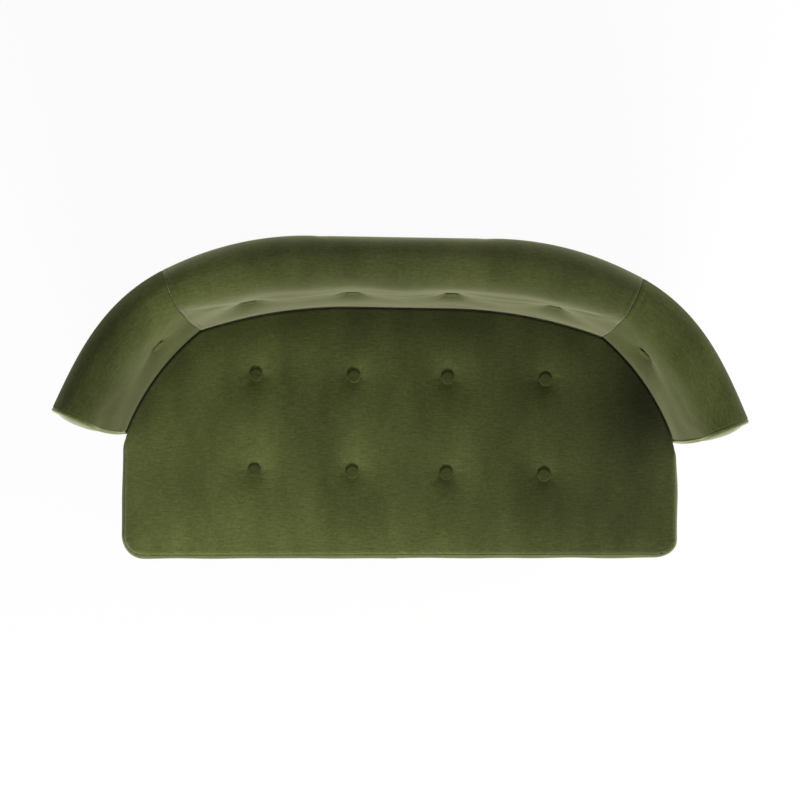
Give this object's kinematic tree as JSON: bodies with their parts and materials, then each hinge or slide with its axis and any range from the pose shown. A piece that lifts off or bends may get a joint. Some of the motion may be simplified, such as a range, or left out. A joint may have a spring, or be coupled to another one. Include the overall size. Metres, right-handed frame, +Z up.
{
  "type": "bench settee",
  "caption": "Low-backed bench settee with a continuous rolled back and arms that wrap a deep-tufted bench seat on short wooden legs.",
  "frame": {"origin": "centre of the settee's footprint box, on the floor", "axes": "+X along the settee's length, to the right of someone who faces its front; +Y from the front of the seat towards the back; +Z up"},
  "size_m": [1.4036, 0.668, 0.735],
  "materials": {
    "velvet": "olive green cotton velvet, short dense pile, dark face-on and bright at a glancing angle",
    "frame_wood": "planed beech, unfinished",
    "panel_board": "bent hardboard, smooth face",
    "leg_wood": "beech stained dark brown, satin varnish",
    "bolt_steel": "zinc-plated",
    "glide_plastic": "moulded black, worn smooth on its face",
    "dust_cambric": "black open-weave cambric, stapled under the frame",
    "webbing_jute": "undyed woven jute"
  },
  "bodies": {
    "root": {"arm_button_left": "velvet", "arm_button_right": "velvet", "arm_facing_left": "velvet", "arm_facing_right": "velvet", "arm_front_board_left": "frame_wood", "arm_front_board_right": "frame_wood", "arm_top_rail_left": "frame_wood", "arm_top_rail_right": "frame_wood", "back_button_1": "velvet", "back_button_2": "velvet", "back_button_3": "velvet", "back_button_4": "velvet", "back_post_left_1": "frame_wood", "back_post_left_2": "frame_wood", "back_post_right_1": "frame_wood", "back_post_right_2": "frame_wood", "back_top_rail": "frame_wood", "corner_block_left": "frame_wood", "corner_block_right": "frame_wood", "dust_cover": "dust_cambric", "facing_welt_left": "velvet", "facing_welt_right": "velvet", "front_bolt_left": "bolt_steel", "front_bolt_right": "bolt_steel", "front_glide_left": "glide_plastic", "front_glide_right": "glide_plastic", "front_leg_left": "leg_wood", "front_leg_right": "leg_wood", "front_seat_rail": "frame_wood", "inner_arm_panel_left": "panel_board", "inner_arm_panel_right": "panel_board", "inner_back_panel": "panel_board", "inside_arm_left": "velvet", "inside_arm_right": "velvet", "inside_back": "velvet", "outside_arm_left": "velvet", "outside_arm_right": "velvet", "outside_back": "velvet", "rear_bolt_left": "bolt_steel", "rear_bolt_right": "bolt_steel", "rear_glide_left": "glide_plastic", "rear_glide_right": "glide_plastic", "rear_leg_left": "leg_wood", "rear_leg_right": "leg_wood", "rear_seat_rail": "frame_wood", "seat_apron": "velvet", "seat_button_1": "velvet", "seat_button_2": "velvet", "seat_button_3": "velvet", "seat_button_4": "velvet", "seat_button_5": "velvet", "seat_button_6": "velvet", "seat_button_7": "velvet", "seat_button_8": "velvet", "seat_pad": "velvet", "seat_stretcher_left": "frame_wood", "seat_stretcher_right": "frame_wood", "seat_webbing": "webbing_jute", "side_seat_rail_left": "frame_wood", "side_seat_rail_right": "frame_wood"}
  },
  "joints": []
}
